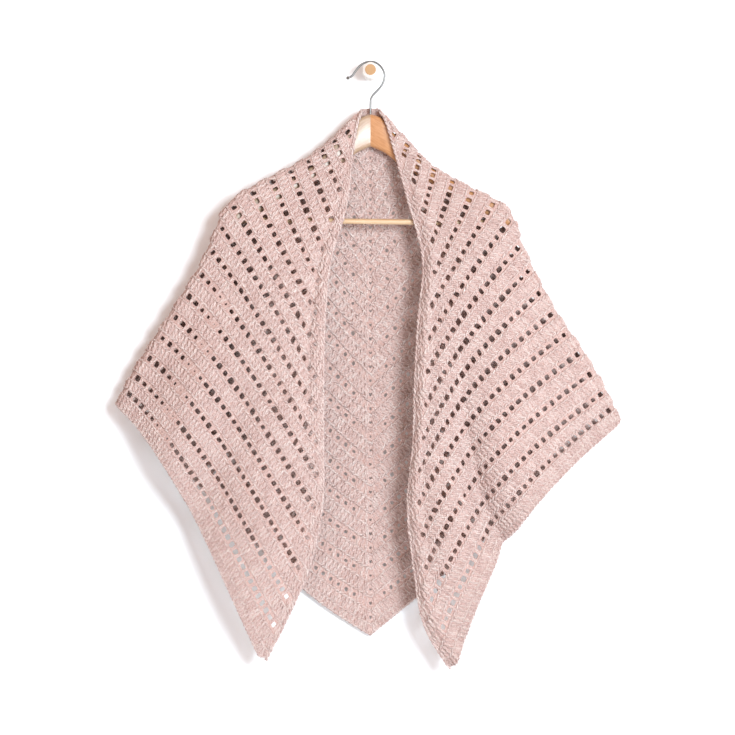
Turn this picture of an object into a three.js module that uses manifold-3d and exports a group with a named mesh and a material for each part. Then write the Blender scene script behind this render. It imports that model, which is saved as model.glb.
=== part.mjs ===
import * as THREE from "three";
import { mergeVertices } from "three/addons/utils/BufferGeometryUtils.js";
import Module from "manifold-3d";

// A crocheted triangle shawl draped over a wooden hanger, whose steel hook hangs on a wall peg.
// Millimetres, +Z up. The wall is the plane y = 0 and the shawl faces -Y.
// The origin is the centre of the peg's back face, where the wall holds everything up.
// Left and right are the viewer's. The x columns of the tables count outwards from the middle.

const wasm = await Module();
wasm.setup();

const gap = 0.3; // between neighbouring pieces
const neckGap = { extra: 2.4, untilRow: 0.09 }; // the seams open a little at the neck

// The cloth: a plain wall, with each solid crochet row raised outside it.
const cloth = { wall: 4, rib: 1.5, neckZ: -57, spineLength: 815, sideShare: 0.5 };
const crochet = { pitch: 43, lastEyeletAboveTip: 50, hemBandAboveTip: 22, eyeletRows: 18 };

// The hanger: two arms that sweep forward, glued at the neck, and a trouser bar.
const hanger = { y: -36, sweep: 0.14, halfThick: 7.2, cornerRadius: 6.5, reach: 213, seat: 1.3 };
const bar = { radius: 4.3, y: -63.3, z: -233.5, tilt: 0.0122, halfLength: 206 };
const wire = { radius: 1.65, sides: 5, steps: 60, shankEndZ: -95, tipRadius: 2.7 };
const peg = { radius: 12, length: 52, chamfer: 4 };

// Outline of the draped shawl from the front, one line for each section across it.
// row: share of the way from the neck to the hem, along the spine
// side: the outer fold over the shoulder and down the side, edge: the long front edge
const leftOutline = [
  { row: 0.0, sideX: 16, sideZ: -59, edgeX: 13, edgeZ: -62 },
  { row: 0.05, sideX: 34, sideZ: -73, edgeX: 20, edgeZ: -81 },
  { row: 0.1, sideX: 54, sideZ: -97, edgeX: 27, edgeZ: -118 },
  { row: 0.2, sideX: 102, sideZ: -135, edgeX: 37, edgeZ: -208 },
  { row: 0.3, sideX: 157, sideZ: -164, edgeX: 61, edgeZ: -295 },
  { row: 0.4, sideX: 210, sideZ: -196, edgeX: 70, edgeZ: -387 },
  { row: 0.45, sideX: 229, sideZ: -219, edgeX: 71, edgeZ: -432 },
  { row: 0.5, sideX: 240, sideZ: -248, edgeX: 72, edgeZ: -477 },
  { row: 0.6, sideX: 266, sideZ: -304, edgeX: 72, edgeZ: -569 },
  { row: 0.7, sideX: 299, sideZ: -356, edgeX: 73, edgeZ: -661 },
  { row: 0.8, sideX: 333, sideZ: -409, edgeX: 90, edgeZ: -750 },
  { row: 0.9, sideX: 366, sideZ: -460, edgeX: 124, edgeZ: -834 },
  { row: 1.0, sideX: 394, sideZ: -514, edgeX: 165, edgeZ: -915 },
];
const rightOutline = [
  { row: 0.0, sideX: 17, sideZ: -59, edgeX: 14, edgeZ: -62 },
  { row: 0.05, sideX: 32, sideZ: -73, edgeX: 24, edgeZ: -80 },
  { row: 0.1, sideX: 51, sideZ: -97, edgeX: 34, edgeZ: -113 },
  { row: 0.2, sideX: 94, sideZ: -143, edgeX: 58, edgeZ: -203 },
  { row: 0.3, sideX: 149, sideZ: -176, edgeX: 80, edgeZ: -292 },
  { row: 0.4, sideX: 204, sideZ: -205, edgeX: 73, edgeZ: -387 },
  { row: 0.45, sideX: 220, sideZ: -226, edgeX: 70, edgeZ: -433 },
  { row: 0.5, sideX: 232, sideZ: -262, edgeX: 68, edgeZ: -479 },
  { row: 0.6, sideX: 259, sideZ: -320, edgeX: 65, edgeZ: -574 },
  { row: 0.7, sideX: 290, sideZ: -375, edgeX: 57, edgeZ: -667 },
  { row: 0.8, sideX: 327, sideZ: -428, edgeX: 66, edgeZ: -760 },
  { row: 0.9, sideX: 360, sideZ: -483, edgeX: 83, edgeZ: -852 },
  { row: 1.0, sideX: 387, sideZ: -539, edgeX: 127, edgeZ: -927 },
];

// Depth of the same sections. spineY and edgeY are places, sideBack is how far the side fold
// drifts back to the wall below the arm, round the radius of that fold, bulge the front's crown.
const depths = [
  { row: 0.0, spineY: -25, sideBack: 6, edgeY: -41, round: 3, bulge: 0 },
  { row: 0.05, spineY: -21, sideBack: 1, edgeY: -52, round: 10, bulge: 0 },
  { row: 0.1, spineY: -18, sideBack: 0.8, edgeY: -54, round: 12, bulge: 0 },
  { row: 0.2, spineY: -16, sideBack: 0.8, edgeY: -71, round: 12, bulge: 1 },
  { row: 0.3, spineY: -15, sideBack: 0.6, edgeY: -80, round: 12, bulge: 4 },
  { row: 0.4, spineY: -16, sideBack: 0, edgeY: -85, round: 12, bulge: 8 },
  { row: 0.5, spineY: -15, sideBack: 1, edgeY: -86, round: 12.5, bulge: 12 },
  { row: 0.6, spineY: -14, sideBack: 4, edgeY: -85, round: 12.5, bulge: 16 },
  { row: 0.7, spineY: -14, sideBack: 8, edgeY: -82, round: 13, bulge: 20 },
  { row: 0.8, spineY: -13, sideBack: 13, edgeY: -77, round: 13, bulge: 23 },
  { row: 0.9, spineY: -13, sideBack: 18, edgeY: -70, round: 12, bulge: 24 },
  { row: 1.0, spineY: -12, sideBack: 22, edgeY: -61, round: 10, bulge: 24 },
];

// Soft folds of the fronts and the back. along: share of the way from the side fold to the
// front edge or the spine, fromRow: where it starts, rise: height outwards, below 0 a trough.
const folds = [
  { side: -1, layer: "front", along: 0.26, fromRow: 0.55, rise: 15, width: 0.12 },
  { side: -1, layer: "front", along: 0.46, fromRow: 0.6, rise: -10, width: 0.1 },
  { side: -1, layer: "front", along: 0.78, fromRow: 0.7, rise: 9, width: 0.13 },
  { side: 1, layer: "front", along: 0.38, fromRow: 0.55, rise: 13, width: 0.13 },
  { side: 1, layer: "front", along: 0.57, fromRow: 0.55, rise: -22, width: 0.09 },
  { side: 1, layer: "front", along: 0.8, fromRow: 0.65, rise: 10, width: 0.13 },
  { side: -1, layer: "back", along: 0.45, fromRow: 0.35, rise: -7, width: 0.16 },
  { side: 1, layer: "back", along: 0.38, fromRow: 0.4, rise: -6, width: 0.15 },
];
const foldGrowth = 0.3; // share of the rows over which a fold reaches its full rise

// How far each side's rows bow up from a straight line at the hem, and where they bow most.
// The peaks are shares of the way from the side fold.
const rowBow = {
  left: { front: 24, frontPeak: 0.36, back: -17, backPeak: 0.72 },
  right: { front: 43, frontPeak: 0.5, back: -2, backPeak: 0.72 },
  fromRow: 0.3,
};
const lapelRoll = { width: 46, rise: 9 }; // the front edge rolls forward, then turns back

// Columns of the cloth's grid, as shares of the layer beyond the round side fold.
const frontColumns = [0, 0.1, 0.2, 0.3, 0.4, 0.5, 0.6, 0.7, 0.8, 0.88, 0.94, 1];
const backColumns = [0, 0.12, 0.24, 0.36, 0.48, 0.6, 0.7, 0.8, 0.9, 1];
const foldSteps = 4;

// The arm's outline from the front: x from the middle, and its top and bottom near the neck.
// Past the neck the top follows the shoulder of the shawl and the bottom falls to the rounded end.
const armNeck = [
  { x: 0, top: -67, bottom: -117 },
  { x: 10, top: -69.5, bottom: -121 },
  { x: 20, top: -75.5, bottom: -126 },
  { x: 26, top: -85, bottom: -130 },
  { x: 36, top: -97, bottom: -138 },
  { x: 48, top: -107, bottom: -147 },
];
const armEnd = { bottom: -247, round: 11 };
const armStations = [
  0, 5, 10, 15, 20, 26, 36, 48, 58, 70, 82, 95, 108, 125, 145, 170, 188, 198, 205, 210, 213,
];

// The hook's centre line, x and z in the plane of the hanger, from its tip round the peg.
const hookLine = [
  { x: -32, z: -10 }, { x: -28.6, z: -8.4 }, { x: -23.4, z: -1.2 }, { x: -17, z: 6.6 },
  { x: -9.3, z: 12 }, { x: 0, z: 14 }, { x: 8.3, z: 12.4 }, { x: 15.3, z: 6.9 },
  { x: 20.5, z: -1.2 }, { x: 21.7, z: -7.2 }, { x: 20.5, z: -15.3 }, { x: 16.5, z: -23.6 },
  { x: 10.6, z: -30.6 }, { x: 4.1, z: -37.6 }, { x: 0.8, z: -43.5 }, { x: 0, z: -52 },
  { x: 0, z: -66 }, { x: 0, z: -80 },
];

const finish = {
  yarn: { color: 0xe0c2ba, roughness: 0.95, metalness: 0 },
  beech: { color: 0xdcaf7a, roughness: 0.45, metalness: 0 },
  paleWood: { color: 0xe9cb95, roughness: 0.5, metalness: 0 },
  steel: { color: 0xa9aaac, roughness: 0.3, metalness: 1 },
  darkSteel: { color: 0x4c4a49, roughness: 0.5, metalness: 0.6 },
};

function mix(a, b, share) {
  return a + (b - a) * share;
}

function smoothStep(from, to, value) {
  const share = Math.min(1, Math.max(0, (value - from) / (to - from)));
  return share * share * (3 - 2 * share);
}

// Reads a column of a table at any value of its key, on a smooth curve through its lines.
function sample(table, key, value, column) {
  const last = table.length - 1;
  let i = 0;
  while (i < last - 1 && value > table[i + 1][key]) i += 1;
  const before = table[Math.max(i - 1, 0)];
  const start = table[i];
  const end = table[i + 1];
  const after = table[Math.min(i + 2, last)];
  const span = end[key] - start[key];
  const startSlope = (end[column] - before[column]) / (end[key] - before[key]);
  const endSlope = (after[column] - start[column]) / (after[key] - start[key]);
  const u = (value - start[key]) / span;
  const startWeight = (1 + 2 * u) * (1 - u) ** 2;
  const endWeight = u * u * (3 - 2 * u);
  const startPull = span * startSlope * u * (1 - u) ** 2;
  const endPull = span * endSlope * u * u * (u - 1);
  return startWeight * start[column] + endWeight * end[column] + startPull + endPull;
}

function armY(x) {
  return hanger.y - hanger.sweep * Math.min(Math.abs(x), hanger.reach);
}

// The two layers meet at the side fold. A section gives its side, edge and spine points.
function sectionAt(side, row) {
  const outline = side < 0 ? leftOutline : rightOutline;
  const sideX = sample(outline, "row", row, "sideX");
  const sideY = armY(sideX) + sample(depths, "row", row, "sideBack");
  const edgeX = sample(outline, "row", row, "edgeX");
  const spineZ = cloth.neckZ - cloth.spineLength * row;
  return {
    side: new THREE.Vector3(side * sideX, sideY, sample(outline, "row", row, "sideZ")),
    edge: new THREE.Vector3(
      side * edgeX,
      sample(depths, "row", row, "edgeY"),
      sample(outline, "row", row, "edgeZ"),
    ),
    spine: new THREE.Vector3(0, sample(depths, "row", row, "spineY"), spineZ),
    round: sample(depths, "row", row, "round"),
    bulge: sample(depths, "row", row, "bulge"),
  };
}

function roundShare(section, end) {
  const span = Math.hypot(end.x - section.side.x, end.z - section.side.z);
  return Math.min(0.35, (section.round * Math.PI) / 2 / span);
}

function foldRise(side, layer, row, along) {
  let rise = 0;
  for (const fold of folds) {
    if (fold.side !== side || fold.layer !== layer) continue;
    const growth = smoothStep(fold.fromRow, fold.fromRow + foldGrowth, row);
    rise += fold.rise * growth * Math.exp(-(((along - fold.along) / fold.width) ** 2));
  }
  return rise;
}

function bowAt(side, layer, row, along) {
  const bow = side < 0 ? rowBow.left : rowBow.right;
  const power = Math.log(0.5) / Math.log(bow[`${layer}Peak`]);
  const growth = smoothStep(rowBow.fromRow, 1, row);
  return bow[layer] * growth * Math.sin(Math.PI * along ** power);
}

// A point of the cloth's middle surface. along is 0 at the side fold, 1 at the edge or spine.
function layerPoint(side, layer, row, along) {
  const section = sectionAt(side, row);
  const front = layer === "front";
  const end = front ? section.edge : section.spine;
  const outward = front ? -1 : 1;
  const span = Math.hypot(end.x - section.side.x, end.z - section.side.z);
  const inset = Math.min(cloth.wall / 2 + cloth.rib, span / 5);
  const directionX = (end.x - section.side.x) / span;
  const directionZ = (end.z - section.side.z) / span;
  const turn = roundShare(section, end);
  let reach;
  let y;
  if (along < turn) {
    const angle = ((along / turn) * Math.PI) / 2;
    reach = inset + section.round * (1 - Math.cos(angle));
    y = section.side.y + outward * section.round * Math.sin(angle);
  } else {
    const beyond = (along - turn) / (1 - turn);
    const eased = front ? smoothStep(0, 1, beyond) : Math.sin((beyond * Math.PI) / 2);
    reach = mix(inset + section.round, span, beyond);
    y = mix(section.side.y + outward * section.round, end.y, eased);
    if (front) {
      const fromEdge = span - reach;
      const roll = fromEdge < lapelRoll.width ? Math.sin((Math.PI * fromEdge) / lapelRoll.width) : 0;
      const rollGrowth = smoothStep(0.05, 0.25, row);
      y -= section.bulge * Math.sin(Math.PI * beyond) + lapelRoll.rise * roll * rollGrowth;
    }
    y += outward * foldRise(side, layer, row, along) * smoothStep(0, 0.12, beyond);
  }
  const lift = bowAt(side, layer, row, reach / span);
  return new THREE.Vector3(
    section.side.x + directionX * reach + side * directionZ * lift,
    y,
    section.side.z + directionZ * reach - side * directionX * lift,
  );
}

// t runs across a row: 0 at the spine, sideShare at the side fold, 1 at the front edge.
function clothPoint(side, row, t) {
  if (t < 0) return clothPoint(-side, row, -t);
  if (t <= cloth.sideShare) return layerPoint(side, "back", row, 1 - t / cloth.sideShare);
  return layerPoint(side, "front", row, (t - cloth.sideShare) / (1 - cloth.sideShare));
}

function outwardNormal(side, row, t) {
  const step = 0.004;
  const rowStart = Math.max(row - step, 0);
  const rowEnd = Math.min(row + step, 1);
  const down = clothPoint(side, rowEnd, t).sub(clothPoint(side, rowStart, t));
  const tEnd = Math.min(t + step, 1);
  const across = clothPoint(side, row, tEnd).sub(clothPoint(side, row, t - step));
  return down.cross(across).multiplyScalar(-side).normalize();
}

// The grid's rows: an eyelet row lies low and the solid row after it stands up.
function gridRows() {
  const lines = [{ row: 0, high: 0 }];
  for (let i = crochet.eyeletRows - 1; i >= 0; i -= 1) {
    const aboveTip = crochet.lastEyeletAboveTip + crochet.pitch * i;
    lines.push({ row: 1 - (aboveTip + crochet.pitch / 2) / cloth.spineLength, high: 1 });
    lines.push({ row: 1 - aboveTip / cloth.spineLength, high: 0 });
  }
  lines.push({ row: 1 - crochet.hemBandAboveTip / cloth.spineLength, high: 1 });
  lines.push({ row: 1, high: 0.3 });
  return lines.filter((line) => line.row >= 0);
}

// Shares of a layer, dense round the side fold and starting half a gap from the seam.
function layerShares(side, layer, row, columns) {
  const section = sectionAt(side, row);
  const end = layer === "front" ? section.edge : section.spine;
  const turn = roundShare(section, end);
  const small = 0.01;
  const fold = layerPoint(side, layer, row, 0);
  const speed = layerPoint(side, layer, row, small).distanceTo(fold) / small;
  const extra = neckGap.extra * (1 - smoothStep(0, neckGap.untilRow, row));
  const shares = [(gap + extra) / 2 / speed];
  for (let i = 1; i < foldSteps; i += 1) shares.push((turn * i) / foldSteps);
  for (const column of columns) shares.push(turn + (1 - turn) * column);
  return shares;
}

// A wall round a grid of middle points: the outside is raised on the solid rows.
function wallGeometry(grid) {
  const positions = [];
  const indices = [];
  const rows = grid.length;
  const columns = grid[0].length;
  for (const inside of [0, 1]) {
    for (const line of grid) {
      for (const { point, normal, high } of line) {
        const offset = inside ? -cloth.wall / 2 : cloth.wall / 2 + cloth.rib * high;
        positions.push(
          point.x + normal.x * offset,
          point.y + normal.y * offset,
          point.z + normal.z * offset,
        );
      }
    }
  }
  const at = (inside, i, j) => inside * rows * columns + i * columns + j;
  const quad = (a, b, c, d) => indices.push(a, b, c, a, c, d);
  for (let i = 0; i + 1 < rows; i += 1) {
    for (let j = 0; j + 1 < columns; j += 1) {
      quad(at(0, i, j), at(0, i + 1, j), at(0, i + 1, j + 1), at(0, i, j + 1));
      quad(at(1, i, j), at(1, i, j + 1), at(1, i + 1, j + 1), at(1, i + 1, j));
    }
    quad(at(0, i, 0), at(1, i, 0), at(1, i + 1, 0), at(0, i + 1, 0));
    const k = columns - 1;
    quad(at(0, i, k), at(0, i + 1, k), at(1, i + 1, k), at(1, i, k));
  }
  for (let j = 0; j + 1 < columns; j += 1) {
    quad(at(0, 0, j), at(0, 0, j + 1), at(1, 0, j + 1), at(1, 0, j));
    const k = rows - 1;
    quad(at(0, k, j), at(1, k, j), at(1, k, j + 1), at(0, k, j + 1));
  }
  const geometry = new THREE.BufferGeometry();
  geometry.setAttribute("position", new THREE.Float32BufferAttribute(positions, 3));
  geometry.setIndex(indices);
  return geometry;
}

function gridPoint(side, row, t, high) {
  return { point: clothPoint(side, row, t), normal: outwardNormal(side, row, t), high };
}

// Columns run left to right as seen from outside, so that every face points outwards.
function frontGrid(side) {
  return gridRows().map(({ row, high }) => {
    const shares = layerShares(side, "front", row, frontColumns);
    const line = shares.map((share) => {
      const t = cloth.sideShare + share * (1 - cloth.sideShare);
      return gridPoint(side, row, t, high);
    });
    return side < 0 ? line : line.reverse();
  });
}

function backGrid() {
  return gridRows().map(({ row, high }) => {
    const half = (side) => {
      const shares = layerShares(side, "back", row, backColumns);
      return shares.map((share) => gridPoint(side, row, cloth.sideShare * (1 - share), high));
    };
    const right = half(1);
    const left = half(-1).reverse().slice(1);
    return [...right, ...left];
  });
}

// The height of the shoulder's inside over a point of the hanger's arm.
function shoulderInside(side, x) {
  const inside = (row) => {
    const normal = outwardNormal(side, row, cloth.sideShare);
    return clothPoint(side, row, cloth.sideShare).addScaledVector(normal, -cloth.wall / 2);
  };
  let low = 0;
  let high = 0.5;
  for (let i = 0; i < 24; i += 1) {
    const middle = (low + high) / 2;
    if (Math.abs(inside(middle).x) < x) low = middle;
    else high = middle;
  }
  return inside(low).z;
}

// Both arms are alike, and the lower shoulder of the shawl rests on them.
function armSpan(x) {
  const neckEnd = armNeck[armNeck.length - 1];
  if (x <= neckEnd.x) {
    return { top: sample(armNeck, "x", x, "top"), bottom: sample(armNeck, "x", x, "bottom") };
  }
  const share = (x - neckEnd.x) / (hanger.reach - neckEnd.x);
  const top = Math.min(shoulderInside(-1, x), shoulderInside(1, x)) - hanger.seat;
  const beyond = Math.max(0, x - hanger.reach + armEnd.round);
  const rounding = armEnd.round - Math.sqrt(armEnd.round ** 2 - (beyond * 0.96) ** 2);
  return { top: top - rounding, bottom: mix(neckEnd.bottom, armEnd.bottom, share) + rounding };
}

function armRing(side, x) {
  const { top, bottom } = armSpan(x);
  const y = armY(x);
  const radius = Math.min(hanger.cornerRadius, (top - bottom) / 2 - 0.5);
  const half = hanger.halfThick;
  const corners = [
    { y: half - radius, z: top - radius, from: 0 },
    { y: radius - half, z: top - radius, from: 1 },
    { y: radius - half, z: bottom + radius, from: 2 },
    { y: half - radius, z: bottom + radius, from: 3 },
  ];
  const ring = [];
  for (const corner of corners) {
    for (let i = 0; i < 4; i += 1) {
      const angle = ((corner.from + i / 3) * Math.PI) / 2;
      ring.push(
        new THREE.Vector3(
          side * Math.max(x, gap / 2),
          y + corner.y + radius * Math.cos(angle),
          corner.z + radius * Math.sin(angle),
        ),
      );
    }
  }
  return ring;
}

// Skins a list of rings that turn the same way and closes both ends with a fan.
function loft(rings, flip) {
  const positions = [];
  const indices = [];
  const sides = rings[0].length;
  const face = (a, b, c) => (flip ? indices.push(a, c, b) : indices.push(a, b, c));
  for (const ring of rings) for (const point of ring) positions.push(point.x, point.y, point.z);
  for (let i = 0; i + 1 < rings.length; i += 1) {
    for (let j = 0; j < sides; j += 1) {
      const next = (j + 1) % sides;
      face(i * sides + j, (i + 1) * sides + j, (i + 1) * sides + next);
      face(i * sides + j, (i + 1) * sides + next, i * sides + next);
    }
  }
  for (const last of [0, 1]) {
    const ring = rings[last ? rings.length - 1 : 0];
    const start = last ? (rings.length - 1) * sides : 0;
    const centre = ring.reduce((sum, point) => sum.add(point), new THREE.Vector3());
    centre.divideScalar(sides);
    const middle = positions.length / 3;
    positions.push(centre.x, centre.y, centre.z);
    for (let j = 0; j < sides; j += 1) {
      const next = (j + 1) % sides;
      if (last) face(middle, start + next, start + j);
      else face(middle, start + j, start + next);
    }
  }
  const geometry = new THREE.BufferGeometry();
  geometry.setAttribute("position", new THREE.Float32BufferAttribute(positions, 3));
  geometry.setIndex(indices);
  return geometry;
}

function toSolid(geometry) {
  const bare = geometry.clone();
  bare.deleteAttribute("normal");
  bare.deleteAttribute("uv");
  const merged = mergeVertices(bare, 1e-4);
  return new wasm.Manifold(
    new wasm.Mesh({
      numProp: 3,
      vertProperties: new Float32Array(merged.attributes.position.array),
      triVerts: new Uint32Array(merged.index.array),
    }),
  );
}

function fromSolid(solid) {
  const mesh = solid.getMesh();
  const geometry = new THREE.BufferGeometry();
  geometry.setAttribute("position", new THREE.BufferAttribute(mesh.vertProperties, 3));
  geometry.setIndex(new THREE.BufferAttribute(mesh.triVerts, 1));
  return geometry;
}

// A round rod on the trouser bar's axis, which hangs a little lower on the right.
function barRod(radius, fromX, toX) {
  const geometry = new THREE.CylinderGeometry(radius, radius, toX - fromX, 16);
  geometry.rotateZ(Math.PI / 2);
  geometry.translate((fromX + toX) / 2, 0, 0);
  geometry.rotateY(Math.atan(bar.tilt));
  geometry.translate(0, bar.y, bar.z);
  return geometry;
}

// Each arm is bored for the hook's shank at the neck and for the bar near its end.
function armGeometry(side) {
  const rings = armStations.map((x) => armRing(side, x));
  const shankTop = 20;
  const shankDepth = shankTop - wire.shankEndZ + gap;
  const shank = new THREE.CylinderGeometry(wire.radius + gap, wire.radius + gap, shankDepth, 16);
  shank.rotateX(Math.PI / 2);
  shank.translate(0, hanger.y, shankTop - shankDepth / 2);
  const inner = side * (bar.halfLength - 90);
  const outer = side * (bar.halfLength + gap);
  const barBore = barRod(bar.radius + gap, Math.min(inner, outer), Math.max(inner, outer));
  const arm = toSolid(loft(rings, side > 0));
  return fromSolid(arm.subtract(toSolid(shank)).subtract(toSolid(barBore)));
}

function hookGeometry() {
  const points = hookLine.map(({ x, z }) => new THREE.Vector3(x, hanger.y, z));
  points.push(new THREE.Vector3(0, hanger.y, wire.shankEndZ));
  const path = new THREE.CatmullRomCurve3(points, false, "centripetal");
  const section = new THREE.Shape().absarc(0, 0, wire.radius, 0, 2 * Math.PI);
  return new THREE.ExtrudeGeometry(section, {
    steps: wire.steps,
    curveSegments: wire.sides,
    bevelEnabled: false,
    extrudePath: path,
  });
}

function tipGeometry() {
  const start = new THREE.Vector2(hookLine[0].x, hookLine[0].z);
  const next = new THREE.Vector2(hookLine[1].x, hookLine[1].z);
  const away = start.clone().sub(next).normalize();
  const centre = start.clone().addScaledVector(away, wire.tipRadius + gap);
  const geometry = new THREE.SphereGeometry(wire.tipRadius, 14, 10);
  geometry.translate(centre.x, hanger.y, centre.y);
  return geometry;
}

function pegGeometry() {
  const faceRadius = peg.radius - peg.chamfer;
  const profile = [
    new THREE.Vector2(0, 0),
    new THREE.Vector2(peg.radius, 0),
    new THREE.Vector2(peg.radius, peg.length - peg.chamfer),
    new THREE.Vector2(faceRadius, peg.length),
    new THREE.Vector2(0, peg.length),
  ];
  return new THREE.LatheGeometry(profile, 32).rotateX(Math.PI);
}

function addPiece(group, name, geometry, surface) {
  const mesh = new THREE.Mesh(geometry, new THREE.MeshStandardMaterial(surface));
  mesh.name = name;
  group.add(mesh);
}

const shawl = new THREE.Group();
addPiece(shawl, "back_panel", wallGeometry(backGrid()), finish.yarn);
addPiece(shawl, "left_front", wallGeometry(frontGrid(-1)), finish.yarn);
addPiece(shawl, "right_front", wallGeometry(frontGrid(1)), finish.yarn);

const hangerGroup = new THREE.Group();
addPiece(hangerGroup, "hanger_arm_left", armGeometry(-1), finish.beech);
addPiece(hangerGroup, "hanger_arm_right", armGeometry(1), finish.beech);
addPiece(hangerGroup, "trouser_bar", barRod(bar.radius, -bar.halfLength, bar.halfLength), finish.paleWood);
addPiece(hangerGroup, "hook", hookGeometry(), finish.steel);
addPiece(hangerGroup, "hook_tip", tipGeometry(), finish.darkSteel);
addPiece(hangerGroup, "wall_peg", pegGeometry(), finish.paleWood);

const part = new THREE.Group();
part.add(shawl, hangerGroup);

export default part;
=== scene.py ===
# Looks of a chunky crocheted triangle shawl on a wooden hanger that hangs from a wall peg.
# Metres, +Z up. The wall is the plane y = 0 and the shawl faces -Y. Left and right are the
# viewer's.
import math

import bmesh
import bpy
import numpy as np
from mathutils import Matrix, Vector


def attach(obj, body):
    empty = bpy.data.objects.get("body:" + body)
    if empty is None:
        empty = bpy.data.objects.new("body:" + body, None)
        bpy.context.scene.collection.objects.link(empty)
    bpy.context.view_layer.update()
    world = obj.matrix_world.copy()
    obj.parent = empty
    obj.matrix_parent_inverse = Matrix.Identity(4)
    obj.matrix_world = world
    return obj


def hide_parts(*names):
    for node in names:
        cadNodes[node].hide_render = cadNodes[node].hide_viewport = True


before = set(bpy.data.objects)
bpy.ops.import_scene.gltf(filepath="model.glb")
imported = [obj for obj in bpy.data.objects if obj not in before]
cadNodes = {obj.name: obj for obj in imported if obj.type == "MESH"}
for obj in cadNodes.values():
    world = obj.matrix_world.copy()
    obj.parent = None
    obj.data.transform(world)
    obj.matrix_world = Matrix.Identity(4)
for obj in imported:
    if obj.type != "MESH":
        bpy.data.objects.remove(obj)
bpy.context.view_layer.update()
print("frame loaded:", len(cadNodes), "solids")


# Turns an sRGB hex colour into Blender's linear one.
def linear(hexColour):
    channels = [int(hexColour[i : i + 2], 16) / 255 for i in (1, 3, 5)]
    return [c / 12.92 if c < 0.04045 else ((c + 0.055) / 1.055) ** 2.4 for c in channels] + [1]


# Adds one node: settings are its own options, inputs are numbers, colours or links by socket.
def addNode(tree, kind, inputs=None, **settings):
    node = tree.nodes.new(kind)
    for name, value in settings.items():
        setattr(node, name, value)
    for socket, value in (inputs or {}).items():
        if isinstance(value, bpy.types.NodeSocket):
            tree.links.new(value, node.inputs[socket])
        else:
            node.inputs[socket].default_value = value
    return node


def newMaterial(name, colour, roughness):
    material = bpy.data.materials.new(name)
    material.use_nodes = True
    shader = material.node_tree.nodes["Principled BSDF"]
    shader.inputs["Base Color"].default_value = linear(colour)
    shader.inputs["Roughness"].default_value = roughness
    material.diffuse_color = linear(colour)
    return material, material.node_tree, shader


# The place of a point in its piece, which is also its place in the room.
def objectPlace(tree):
    return addNode(tree, "ShaderNodeTexCoord").outputs["Object"]


def noise(tree, place, scale, detail):
    inputs = {"Vector": place, "Scale": scale, "Detail": detail}
    return addNode(tree, "ShaderNodeTexNoise", inputs).outputs["Fac"]


def mixColours(tree, share, first, second):
    inputs = {0: share, 6: first, 7: second}
    return addNode(tree, "ShaderNodeMix", inputs, data_type="RGBA").outputs[2]


def mixShaders(tree, share, first, second):
    inputs = {0: share, 1: first.outputs[0], 2: second.outputs[0]}
    return addNode(tree, "ShaderNodeMixShader", inputs).outputs[0]


# A ramp over three tones, with the middle one at 0.5.
def threeTones(tree, value, tones, start, end):
    ramp = addNode(tree, "ShaderNodeValToRGB", {"Fac": value})
    stops = ramp.color_ramp.elements
    stops[0].position, stops[0].color = start, linear(tones[0])
    stops[1].position, stops[1].color = end, linear(tones[2])
    middle = stops.new(0.5)
    middle.color = linear(tones[1])
    return ramp.outputs["Color"]


def bumpFrom(tree, shader, height, strength, distance):
    inputs = {"Strength": strength, "Distance": distance, "Height": height}
    bump = addNode(tree, "ShaderNodeBump", inputs)
    tree.links.new(bump.outputs["Normal"], shader.inputs["Normal"])


def addToScene(name, data):
    thing = bpy.data.objects.new(name, data)
    bpy.context.scene.collection.objects.link(thing)
    return thing


def meshObject(name, points, faces, materials=()):
    mesh = bpy.data.meshes.new(name)
    mesh.from_pydata([tuple(p) for p in points], [], faces)
    mesh.validate()
    for material in materials:
        mesh.materials.append(material)
    return addToScene(name, mesh)


def shadeSmooth(piece, angle=180):
    piece.data.shade_smooth()
    if angle < 180:
        piece.data.set_sharp_from_angle(angle=math.radians(angle))


# Camera and stage

camera = {
    "distance": 4.2,
    "frameWidth": 1.1245,  # width of the view at the shawl's depth
    "centre": (-0.0046, -0.06, -0.4567),
    "sensor": 36,
    "clip": (0.05, 60),
}
wall = {"width": 7, "bottom": -1.45, "top": 2.6, "y": 0.0006}
ground = {"front": -6, "back": 3}
lights = {
    "key": {"at": (1.25, -3.35, 0.1), "aim": (0, -0.05, -0.45), "size": 1.1, "watts": 157},
    "fill": {"at": (-0.2, -4.3, 0.3), "aim": (0, -0.05, -0.45), "size": 2.5, "watts": 23},
    "back": {"at": (0.4, 2.6, 0.6), "aim": (0, 0, -0.45), "size": 2.6, "watts": 60},
    "ambient": 0.64,
    "ambientTint": "#FFD0B8",  # light bounced about a warm room
    "backdrop": "#F1F0EE",  # what the camera sees past the wall
    "lampTint": "#E6F4FF",
}


def aimed(thing, at, aim):
    thing.location = at
    thing.rotation_euler = (Vector(aim) - Vector(at)).to_track_quat("-Z", "Y").to_euler()


def buildCamera():
    lens = bpy.data.cameras.new("camera")
    lens.sensor_width = camera["sensor"]
    lens.lens = camera["sensor"] * camera["distance"] / camera["frameWidth"]
    lens.clip_start, lens.clip_end = camera["clip"]
    view = addToScene("camera", lens)
    x, y, z = camera["centre"]
    aimed(view, (x, y - camera["distance"], z), camera["centre"])
    bpy.context.scene.camera = view


# White wall paint: flat and bright. Its back is clear, so that the shawl shows from behind too.
def wallPaint():
    material, tree, shader = newMaterial("white wall paint, matt", "#F0F2F1", 0.9)
    shader.inputs["Specular IOR Level"].default_value = 0.1
    side = addNode(tree, "ShaderNodeNewGeometry")
    clear = addNode(tree, "ShaderNodeBsdfTransparent")
    both = mixShaders(tree, side.outputs["Backfacing"], shader, clear)
    tree.links.new(both, tree.nodes["Material Output"].inputs["Surface"])
    return material


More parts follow.
